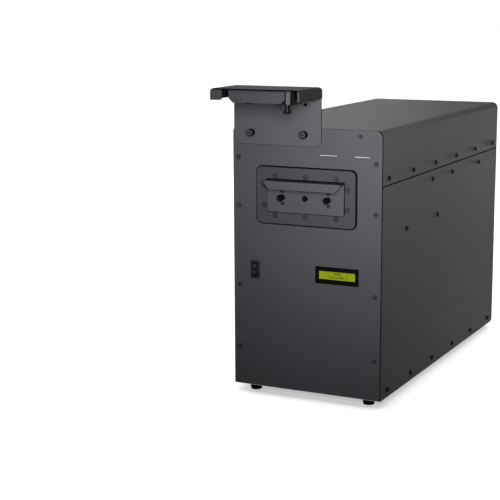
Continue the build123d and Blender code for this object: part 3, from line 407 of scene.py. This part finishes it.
def camera_shell(name, node):
    """Black camera case with a pale strip down one part of its front, a painted highlight."""
    shell = Finish(name, Specular_IOR_Level=0.08)
    middle_x = middle_of(node).x
    # Painted highlight: a paler band down the right part of the front face
    lit_strip = shell.between("X", middle_x + 1.5 * MM, middle_x + 9 * MM) * (shell.slope("Y") < -0.9)
    fine = shell.noise(1400, 3.0)
    shell.set(Base_Color=shell.mix(lit_strip * (0.85 + fine * 0.3), SCREW_BLACK, (0.095, 0.097, 0.105)))
    shell.set(Roughness=0.36 + fine * 0.14)
    shell.bump(fine, 0.12, 0.0001)
    return shell.material


def capacitor_can(name, node):
    """A dark blue sleeve with a black top and bright terminals."""
    can = Finish(name)
    top = span(node)[1].z - 8 * MM
    metal = can.axis("Z") > top + 0.2 * MM
    lid = can.axis("Z") > top - 2 * MM
    print_bands = can.noise(1.0, 2.0, 0.5, can.stretched((60, 60, 8)))
    sleeve = can.mix(print_bands, (0.012, 0.022, 0.075), (0.020, 0.040, 0.120))
    can.set(Base_Color=can.mix(metal, can.mix(lid, sleeve, MOULDED_BLACK), STEEL), Metallic=metal)
    can.set(Roughness=0.26 + print_bands * 0.14)
    can.bump(can.noise(500, 2.0), 0.1, 0.0002)
    return can.material


def circuit_board(name, node):
    """Green laminate with etched tracks and pads, and dark relays behind it."""
    board = Finish(name, Specular_IOR_Level=0.5)
    relay = board.axis("Y") > span(node)[0].y + 1.7 * MM
    across = (board.axis("X") / (5 * MM)) % 1.0 < 0.14
    down = (board.axis("Z") / (7 * MM)) % 1.0 < 0.10
    patch = board.noise(35, 1.0) > 0.5
    track = across * patch | down * (1.0 - patch)
    pad = board.cells(160) < 0.16
    green = board.mix(track, (0.008, 0.060, 0.022), (0.015, 0.120, 0.040))
    board.set(Base_Color=board.mix(relay, board.mix(pad, green, (0.55, 0.54, 0.50)), (0.016, 0.016, 0.020)))
    board.set(Roughness=0.3 + board.noise(300) * 0.2, Metallic=pad * (1.0 - relay))
    board.bump(track | pad, 0.3, 0.0001)
    return board.material


def ceramic_disc(name, node):
    """Glazed ceramic with a plated cap on top."""
    disc = Finish(name)
    cap = disc.axis("Z") > span(node)[1].z - 4.9 * MM
    rib = disc.bands("Z", 3.5 * MM)
    disc.set(Base_Color=disc.mix(cap, disc.mix(rib, (0.52, 0.50, 0.46), (0.72, 0.70, 0.66)), STEEL))
    disc.set(Metallic=cap, Roughness=0.18 + disc.noise(80) * 0.14)
    disc.bump(rib, 0.4, 0.0006)
    return disc.material


def enamel_tube(name, node):
    """Brown-green vitreous enamel between two plated feet."""
    tube = Finish(name)
    low, high = span(node)
    foot = 1.0 - tube.between("X", low.x + 10 * MM, high.x - 10 * MM)
    glaze = tube.noise(120, 4.0)
    tube.set(Base_Color=tube.mix(foot, tube.mix(glaze, (0.030, 0.055, 0.040), (0.055, 0.090, 0.062)), STEEL))
    tube.set(Metallic=foot, Roughness=0.16 + glaze * 0.2)
    tube.bump(tube.bands("X", 2.2 * MM), 0.3, 0.0003)
    return tube.material


def display_glow(name, node):
    """A lit display with faint character cells, in a dark tinned frame on its board."""
    low = span(node)[0]
    glow = Finish(name, Emission_Strength=1.0, Specular_IOR_Level=0.05)
    lit = glow.axis("Y") < low.y + 0.1 * MM
    cell = ((glow.axis("X") / (3.55 * MM)) % 1.0 < 0.83) * ((glow.axis("Z") / (5.95 * MM)) % 1.0 < 0.9)
    haze = glow.noise(45, 2.0)
    tone = glow.mix(haze * 0.5 + cell * 0.12, shade(LCD_GLOW, 1.15), shade(LCD_GLOW, 0.75))
    glow.set(Base_Color=glow.mix(lit, (0.035, 0.040, 0.036), (0.05, 0.06, 0.002)))
    glow.set(Emission_Color=glow.mix(lit, (0, 0, 0), tone), Roughness=0.4 + haze * 0.1)
    return glow.material


def clear_pane(name):
    """Clear moulded window with a faint smear."""
    pane = Finish(name, Base_Color=(0.02, 0.02, 0.02))
    smear = pane.noise(70, 3.0)
    pane.set(Alpha=0.05 + smear * 0.06, Roughness=0.08 + smear * 0.06)
    return pane.material


def coated_glass(name):
    """Dark lens glass with a violet coating."""
    glass = Finish(name, Coat_Weight=1.0, Coat_Roughness=0.02, Specular_IOR_Level=0.8)
    sweep = glass.noise(220, 2.0)
    glass.set(Base_Color=glass.mix(sweep, (0.010, 0.008, 0.030), (0.028, 0.012, 0.045)))
    glass.set(Roughness=0.04 + sweep * 0.04)
    return glass.material


def inlet_black(name, node):
    """Black moulding with plated pins in its recess."""
    body = Finish(name, Specular_IOR_Level=0.5)
    back = span(node)[1].y
    middle = middle_of(node)
    deep = body.between("Y", back - 16.9 * MM, back - 1 * MM)
    pin = deep * (abs(body.axis("X") - middle.x) < 8.4 * MM) * (abs(body.axis("Z") - middle.z) < 7.3 * MM)
    fine = body.noise(2600, 2.0)
    body.set(Base_Color=body.mix(pin, MOULDED_BLACK, (0.62, 0.58, 0.50)), Metallic=pin)
    body.set(Roughness=0.26 + fine * 0.16)
    body.bump(fine, 0.12, 0.0001)
    return body.material


def printed_ink(name, colour):
    """Screen-printed ink, slightly broken at its edge."""
    ink = Finish(name, Specular_IOR_Level=0.3)
    grain = ink.noise(2200, 2.0)
    ink.set(Base_Color=ink.mix(grain, shade(colour, 0.86), colour), Roughness=0.5 + grain * 0.2)
    return ink.material


def box_round(points):
    """The lowest and highest corner of the box round some points."""
    return (Vector(min(point[i] for point in points) for i in range(3)),
            Vector(max(point[i] for point in points) for i in range(3)))


def span(name):
    """The lowest and highest corner of a CAD node, in metres."""
    return box_round([nodes[name].matrix_world @ Vector(corner) for corner in nodes[name].bound_box])


def middle_of(name):
    """The middle of a CAD node's box."""
    low, high = span(name)
    return (low + high) / 2


def screw_middles(name, reach):
    """The middle of each separate screw of a node, as groups of points within a reach of each other."""
    groups = []
    for vert in nodes[name].data.vertices:
        place = nodes[name].matrix_world @ vert.co
        near = [group for group in groups if (group[0] - place).xz.length < reach]
        if near:
            near[0].append(place)
        else:
            groups.append([place])
    return [(low + high) / 2 for low, high in map(box_round, groups)]


def on_rocker(depth, rise):
    """The place of a point of the rocker's section, given in millimetres before the rocker leans."""
    return ROCKER_PIVOT + Matrix.Rotation(ROCKER_LEAN, 3, "X") @ Vector((0, -depth, rise)) * MM


def paint_cad(material, *names):
    """Give CAD nodes a finish in place of the one they were packed with."""
    for name in names:
        slots = nodes[name].data.materials
        slots.clear()
        slots.append(material)


def sharp_loops(mesh, sharp, smallest):
    """Edges at sharp corners, without the small separate loops such as screw holes."""
    edges = {e for e in mesh.edges if len(e.link_faces) == 2 and e.calc_face_angle() > sharp}
    kept = []
    while edges:
        group = [edges.pop()]
        for edge in group:
            for vert in edge.verts:
                near = [e for e in vert.link_edges if e in edges]
                edges.difference_update(near)
                group.extend(near)
        places = [vert.co for edge in group for vert in edge.verts]
        reach = max(max(p[i] for p in places) - min(p[i] for p in places) for i in range(3))
        if reach > smallest:
            kept.extend(group)
    return kept


def smooth_normals():
    """Smooth the active piece by angle, with flat faces kept flat by their area."""
    piece = bpy.context.active_object
    bpy.ops.object.shade_smooth_by_angle(angle=math.radians(40))
    bpy.ops.object.modifier_add(type="WEIGHTED_NORMAL")
    piece.modifiers[-1].keep_sharp = True
    bpy.ops.object.modifier_apply(modifier=piece.modifiers[-1].name)


def dress(piece, name, material, like, replaced=False):
    """Name and finish a piece. It rides like a CAD node, which it may replace."""
    piece.name = name
    piece.data.name = name
    piece.data.materials.clear()
    piece.data.materials.append(material)
    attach(piece, nodes[like]["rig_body"])
    if replaced:
        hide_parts(like)


def soften(name, width, material, smallest=12 * MM):
    """A copy of a CAD node with its long sharp edges rounded, as sheet and mouldings have them."""
    piece = bpy.data.objects.new(name + "_finished", nodes[name].data.copy())
    bpy.context.scene.collection.objects.link(piece)
    bpy.ops.object.select_all(action="DESELECT")
    bpy.context.view_layer.objects.active = piece
    piece.select_set(True)
    bpy.ops.object.mode_set(mode="EDIT")
    bpy.ops.mesh.select_all(action="SELECT")
    bpy.ops.mesh.remove_doubles(threshold=1e-6)
    bpy.ops.mesh.dissolve_limited(angle_limit=math.radians(0.5))
    bpy.ops.mesh.select_all(action="DESELECT")
    bpy.ops.mesh.select_mode(type="EDGE")
    mesh = bmesh.from_edit_mesh(piece.data)
    for edge in sharp_loops(mesh, math.radians(28), smallest):
        edge.select_set(True)
    bmesh.update_edit_mesh(piece.data)
    bpy.ops.mesh.bevel(offset=width, segments=2, profile=0.5, affect="EDGES", clamp_overlap=True)
    bpy.ops.object.mode_set(mode="OBJECT")
    smooth_normals()
    dress(piece, name + "_finished", material, name, True)


def begin(add, **settings):
    """Add a primitive with nothing else selected."""
    bpy.ops.object.select_all(action="DESELECT")
    add(**settings)
    return bpy.context.active_object


def settle():
    """Put the active object's place, turn and size into its mesh."""
    bpy.ops.object.transform_apply(location=True, rotation=True, scale=True)


def bar(low, high, round_by=0.0):
    """A box between two corners, with its edges rounded by a width."""
    low, high = Vector(low), Vector(high)
    piece = begin(bpy.ops.mesh.primitive_cube_add, size=1, location=(low + high) / 2, scale=high - low)
    settle()
    if round_by > 0:
        bpy.ops.object.mode_set(mode="EDIT")
        bpy.ops.mesh.select_all(action="SELECT")
        bpy.ops.mesh.bevel(offset=round_by, segments=2, profile=0.5, affect="EDGES")
        bpy.ops.object.mode_set(mode="OBJECT")
        smooth_normals()
    return piece


def join(pieces):
    """One object from several."""
    bpy.ops.object.select_all(action="DESELECT")
    for piece in pieces:
        piece.select_set(True)
    bpy.context.view_layer.objects.active = pieces[0]
    bpy.ops.object.join()
    return pieces[0]


def turned(place, profile, sides=64):
    """A turned piece about an upright axis, from radii and heights listed from one end to the other."""
    radius, height = profile[0]
    piece = begin(bpy.ops.mesh.primitive_circle_add, vertices=sides, radius=radius, fill_type="NGON",
                  location=(place[0], place[1], height))
    settle()
    bpy.ops.object.mode_set(mode="EDIT")
    bpy.ops.mesh.select_all(action="SELECT")
    for next_radius, next_height in profile[1:]:
        bpy.ops.mesh.extrude_region_move(TRANSFORM_OT_translate={"value": (0, 0, next_height - height)})
        scale = next_radius / radius
        bpy.ops.transform.resize(value=(scale, scale, 1), center_override=(place[0], place[1], next_height))
        radius, height = next_radius, next_height
    bpy.ops.mesh.select_all(action="SELECT")
    bpy.ops.mesh.normals_make_consistent(inside=False)
    bpy.ops.object.mode_set(mode="OBJECT")
    smooth_normals()
    return piece


# Finishes by the pieces that wear them

# The across and facing levels darken edges and turned faces towards black as painted shade; on the hood they
# also darken its top and flanks
panel_paint = powder_coat("panel_paint", PANEL_GREY, across=0.03)
side_paint = powder_coat("side_paint", CASE_GREY, axis="X", across=0.03)
cover_paint = powder_coat("cover_paint", CASE_GREY, facing=0.03)
surround_paint = powder_coat("surround_paint", SURROUND_GREY, 0.46, across=0.02)
drawer_paint = powder_coat("drawer_paint", DRAWER_GREY, 0.44, across=0.12)
bracket_paint = powder_coat("bracket_paint", BRACKET_GREY, 0.46, across=0.03)
# The name plate wears the bracket's grey made darker, partly painted shade from the hood above it
plate_paint = powder_coat("plate_paint", shade(BRACKET_GREY, 0.75), 0.46, across=0.03)
flange_paint = powder_coat("flange_paint", (0.034, 0.034, 0.036), 0.4, across=0.1)
# Height above which the hood's front faces are painted near black, painted shade under its top edge
hood_edge = span("camera_hood")[1].z - 2.4 * MM
hood_paint = powder_coat("hood_paint", HOOD_GREY, 0.6, across=0.33, shade_above=hood_edge)
screw_black = black_oxide("screw_black")
black_plastic = moulded("black_plastic", MOULDED_BLACK)
tray_plastic = moulded("tray_plastic", (0.024, 0.024, 0.026), 0.45)
# Dull black with almost no sheen: the true colour of the display frame, posts and caps, and painted shade on
# the frames, rails and screw rings
black_and_painted_shade = moulded("black_and_painted_shade", SCREW_BLACK, 0.6, 0.2, 0.02)
switch_black = moulded("switch_black", (0.007, 0.007, 0.008), 0.24, 0.05, 0.15)
lens_black = moulded("lens_black", SCREW_BLACK, 0.15, 0.02, 0.16)
black_rubber = rubber("black_rubber")
zinc = zinc_sheet("zinc", STEEL)
milled = drawn_metal("milled", (0.62, 0.63, 0.65), 0.32, (900, 12, 900))
chromed = drawn_metal("chromed", (0.70, 0.71, 0.72), 0.16, (400, 400, 400))
bus_copper = drawn_metal("bus_copper", COPPER, 0.3, (900, 14, 900))
brass = drawn_metal("brass", (0.62, 0.44, 0.17), 0.26, (700, 700, 700))
white_ink = printed_ink("white_ink", INK_WHITE)
# Dim ink for the rocker's marks, toned also for the bar's painted highlight
mark_and_highlight_ink = printed_ink("mark_and_highlight_ink", shade(INK_WHITE, 0.35))
lcd_ink = printed_ink("lcd_ink", (0.012, 0.018, 0.006))

paint_cad(zinc, "base_pan", "coil_shelf", "capacitor_saddle")
paint_cad(screw_black, "rear_screws", "side_screws", "cover_screws", "foot_screws",
          "hood_screws")
paint_cad(painted_screw("drawer_screw", "drawer_screws", shade(DRAWER_GREY, 0.9), 0.9), "drawer_screws")
paint_cad(painted_screw("bezel_screw", "bezel_screws", SURROUND_GREY, 0.93), "bezel_screws")
paint_cad(painted_screw("panel_screw", "front_screws", shade(PANEL_GREY, 0.75), 0.8), "front_screws")
paint_cad(black_rubber, "bezel_gasket")
paint_cad(milled, "heat_sink")
paint_cad(black_plastic, "fan_rotor")
# Painted shade: the frames and cover rails are dull black so the seams between the panels read as shadow
paint_cad(black_and_painted_shade, "front_frame", "rear_frame", "cover_rails")
for name in ("knob_left", "knob_right"):
    paint_cad(knob_black(name + "_black", name), name)
paint_cad(wound_wire("coil_wire", "Y", 2.4 * MM), "coil_winding")
paint_cad(wound_wire("transformer_wire", "Z", 1.2 * MM), "transformer_coil")
paint_cad(phenolic_board("former_board", (0.28, 0.17, 0.08)), "coil_former", "coil_cradle")
paint_cad(laminated_steel("core_steel", 1.0 * MM), "transformer_core")
paint_cad(bus_copper, "bus_bars")
paint_cad(brass, "board_standoffs")
paint_cad(capacitor_can("can_sleeve", "capacitors"), "capacitors")
paint_cad(circuit_board("board_laminate", "control_board"), "control_board")
paint_cad(ceramic_disc("device_ceramic", "thyristors"), "thyristors")
paint_cad(enamel_tube("resistor_enamel", "bleed_resistors"), "bleed_resistors")
paint_cad(display_glow("display_glow", "lcd_module"), "lcd_module")
paint_cad(coated_glass("lens_coating"), "lens_glass")

# Pieces with rounded edges, each with the width of the rounding in millimetres

inlet_plastic = inlet_black("inlet_black", "mains_inlet")
camera_case = camera_shell("camera_shell", "camera_body")
for name, width, material in (
        ("front_panel", 0.5, panel_paint), ("rear_panel", 0.5, panel_paint), ("side_left", 0.4, side_paint),
        ("side_right", 0.4, side_paint), ("top_cover", 0.4, cover_paint),
        ("drawer_bezel", 0.5, surround_paint), ("drawer_front", 0.4, drawer_paint),
        ("camera_bracket", 0.4, bracket_paint), ("camera_hood", 0.4, hood_paint),
        ("name_plate", 0.3, plate_paint), ("lcd_frame", 0.4, black_and_painted_shade), ("switch_body", 0.9, flange_paint),
        ("switch_rocker", 0.4, switch_black), ("mains_inlet", 0.4, inlet_plastic),
        ("drawer_tray", 0.6, tray_plastic), ("runner_left", 0.4, milled), ("runner_right", 0.4, milled),
        ("drawer_tail", 0.5, milled), ("camera_body", 0.5, camera_case), ("fan_frame", 0.5, black_plastic),
        ("feet", 0.8, black_rubber)):
    soften(name, width * MM, material)
for name, width, material in (("drawer_posts", 0.3, black_and_painted_shade), ("drawer_caps", 0.25, black_and_painted_shade)):
    soften(name, width * MM, material, 4 * MM)

# Painted shade: thin black rings round the screws of the drawer and its surround, on the front of each
# plate, standing for the shade in the gap round each head

for screws, plate, thickness, radius in (("bezel_screws", "drawer_bezel", 2.5, 3.95),
                                         ("drawer_screws", "drawer_front", 3.0, 3.0)):
    face = span(plate)[1].y - thickness * MM
    shade_rings = []
    for middle in screw_middles(screws, 10 * MM):
        shade_ring = begin(bpy.ops.mesh.primitive_torus_add, location=(middle.x, face, middle.z), major_segments=40,
                    minor_segments=8, major_radius=radius * MM, minor_radius=0.5 * MM, rotation=UPRIGHT)
        shade_ring.scale = FLATTENED
        settle()
        shade_rings.append(shade_ring)
    dress(join(shade_rings), screws + "_rims", black_and_painted_shade, screws)

# Display: a clear pane over dark figures

low, high = span("lcd_window")
pane = bar(low, high - Vector((0, 0.4 * MM, 0)), 0.2 * MM)
dress(pane, "lcd_pane", clear_pane("clear_pane"), "lcd_window", True)
middle = middle_of("lcd_window")
figures = []
for text, foot in (("00000", 1.25), ("1234567890 3", -4.75)):
    place = (middle.x, high.y - 0.05 * MM, middle.z + foot * MM)
    figure = begin(bpy.ops.object.text_add, location=place, rotation=UPRIGHT)
    figure.data.body = text
    figure.data.size = 5.4 * MM
    figure.data.offset = 0.08 * MM
    figure.data.align_x = "CENTER"
    figure.data.space_character = 1.15
    bpy.ops.object.convert(target="MESH")
    settle()
    figures.append(bpy.context.active_object)
dress(join(figures), "lcd_figures", lcd_ink, "lcd_module")

# Marks on the rocker's two faces, the upright bar also sized and toned as a painted highlight, and two thin
# rules on the panel

highlight_bar_mark = begin(bpy.ops.mesh.primitive_cube_add, size=1, location=on_rocker(MARK_DEPTH, MARK_RISE),
                 rotation=(ROCKER_LEAN + ROCKER_FACE, 0, 0), scale=(1.0 * MM, 0.1 * MM, 4.4 * MM))
settle()
ring_mark = begin(bpy.ops.mesh.primitive_torus_add, location=on_rocker(MARK_DEPTH, -MARK_RISE),
                  major_radius=1.7 * MM, minor_radius=0.2 * MM, major_segments=40, minor_segments=8,
                  rotation=(math.radians(90) + ROCKER_LEAN - ROCKER_FACE, 0, 0))
ring_mark.scale = FLATTENED
settle()
dress(join([highlight_bar_mark, ring_mark]), "rocker_marks", mark_and_highlight_ink, "switch_rocker")

panel_face = span("front_panel")[0].y
rules = [bar((left * MM, panel_face - 0.05 * MM, 420.6 * MM), (right * MM, panel_face, 421.5 * MM))
         for left, right in ((26.0, 56.0), (88.0, 113.5))]
dress(join(rules), "panel_rules", white_ink, "front_panel")

# Lens barrel with a ribbed focus ring

lens_top = span("camera_lens")[1].z
profile = [(6.4, 0), (6.6, 0.2), (6.6, 1.4), (6.3, 1.7), (5.6, 1.7)]
for groove in range(4):
    drop = 2.4 + 1.8 * groove
    profile += [(5.6, drop), (5.3, drop + 0.2), (5.3, drop + 0.8), (5.6, drop + 1.0)]
profile += [(5.6, 10.1), (6.9, 10.1), (7.3, 10.5), (7.3, 14.5)]
profile += [(6.8, 15.1), (5.2, 15.1), (5.0, 14.7), (5.0, 11.1)]
lens = turned(middle_of("camera_lens"), [(radius * MM, lens_top - drop * MM) for radius, drop in profile])
dress(lens, "lens_barrel", lens_black, "camera_lens", True)

# Fan guard of round wire

guard_place = middle_of("fan_guard")
wires = [begin(bpy.ops.mesh.primitive_torus_add, location=guard_place, rotation=UPRIGHT,
               major_radius=radius * MM, minor_radius=0.75 * MM, major_segments=96, minor_segments=10)
         for radius in (12.0, 22.0, 32.0)]
for x in (-1, 1):
    wires.append(begin(bpy.ops.mesh.primitive_cylinder_add, radius=0.74 * MM, depth=94 * MM, vertices=16,
                       location=guard_place, rotation=(0, x * math.radians(45), 0)))
    wires += [begin(bpy.ops.mesh.primitive_torus_add, rotation=UPRIGHT, major_radius=3.6 * MM,
                    minor_radius=0.75 * MM, major_segments=32, minor_segments=10,
                    location=guard_place + Vector((x, 0, z)) * 35.75 * MM) for z in (-1, 1)]
guard = join(wires)
settle()
bpy.ops.object.shade_smooth_by_angle(angle=math.radians(40))
dress(guard, "fan_guard_wires", chromed, "fan_guard", True)

# Floor, light and camera


def lamp(name, place, target, size, power, spread=180):
    """A soft square lamp that looks at a point."""
    bpy.ops.object.light_add(type="AREA", location=place)
    light = bpy.context.active_object
    light.name = name
    light.data.size = size
    light.data.energy = power
    light.data.spread = math.radians(spread)
    light.rotation_euler = (Vector(target) - Vector(place)).to_track_quat("-Z", "Y").to_euler()


def studio_floor():
    """White paper that takes the shadow near the object, with a painted contact shadow from ambient
    occlusion, and fades into the background further out.
    """
    floor = begin(bpy.ops.mesh.primitive_plane_add, size=40)
    floor.name = "floor"
    paper = Finish("floor_paper", Roughness=0.9, Specular_IOR_Level=0.1, Emission_Strength=1.0)
    seen = background_rays(paper.tree)
    away = paper.node("ShaderNodeVectorMath", {"operation": "LENGTH"}, {0: paper.place}, "Value")
    grain = paper.noise(3, 2.0)
    white = paper.mix(grain, (0.79, 0.79, 0.79), (0.81, 0.81, 0.81))
    paper.set(Base_Color=paper.mix(seen, (0.15, 0.15, 0.15), white))
    # Painted shadow: ambient occlusion darkens the floor's glow close to the object
    painted_contact_shadow = paper.node("ShaderNodeAmbientOcclusion", {"samples": 16}, {"Distance": 0.045}, "AO")
    glow = paper.ramp(away * 0.4, (0.28, 0.87), (0.75, 1.0)) * paper.ramp(painted_contact_shadow, (0.35, 0.46), (0.95, 1.0))
    paper.set(Emission_Color=paper.mix(seen * glow, (0, 0, 0), (1, 1, 1)))
    floor.data.materials.append(paper.material)


studio_floor()
middle = (cad_box[0] + cad_box[1]) / 2
lamp("front_lamp", (0.55, -1.15, 0.66), (0.17, -0.28, 0.52), 0.5, 2.5, 52)
lamp("top_lamp", (0.0, 0.0, 1.9), middle, 1.4, 7.5)
lamp("side_lamp", (1.7, 0.9, 0.1), (0.138, 0.34, 0.0), 0.5, 0.75, 36)
lamp("left_lamp", (-1.6, -0.1, 0.8), middle, 1.0, 11)
lamp("rear_lamp", (-1.4, 2.2, 1.2), middle, 1.4, 8)
lamp("back_lamp", (0.05, 2.4, 0.25), middle, 0.5, 18)

world = bpy.data.worlds.new("studio")
world.use_nodes = True
bpy.context.scene.world = world
sky = mix_colours(world.node_tree, background_rays(world.node_tree), (0.13, 0.13, 0.13), (1, 1, 1))
world.node_tree.links.new(sky.socket, world.node_tree.nodes["Background"].inputs["Color"])

bpy.ops.object.camera_add(location=CAMERA_PLACE)
camera = bpy.context.active_object
heading = Vector((-math.sin(CAMERA_YAW), math.cos(CAMERA_YAW), 0))
forward = heading * math.cos(CAMERA_PITCH) - Vector((0, 0, math.sin(CAMERA_PITCH)))
level = Vector((math.cos(CAMERA_YAW), math.sin(CAMERA_YAW), 0))
upward = level.cross(forward)
right = level * math.cos(CAMERA_ROLL) + upward * math.sin(CAMERA_ROLL)
camera.rotation_euler = Matrix((right, right.cross(forward), -forward)).transposed().to_euler()
camera.data.lens = CAMERA_LENS
camera.data.sensor_width = 36
bpy.context.scene.camera = camera
bpy.context.scene.view_settings.view_transform = "Standard"
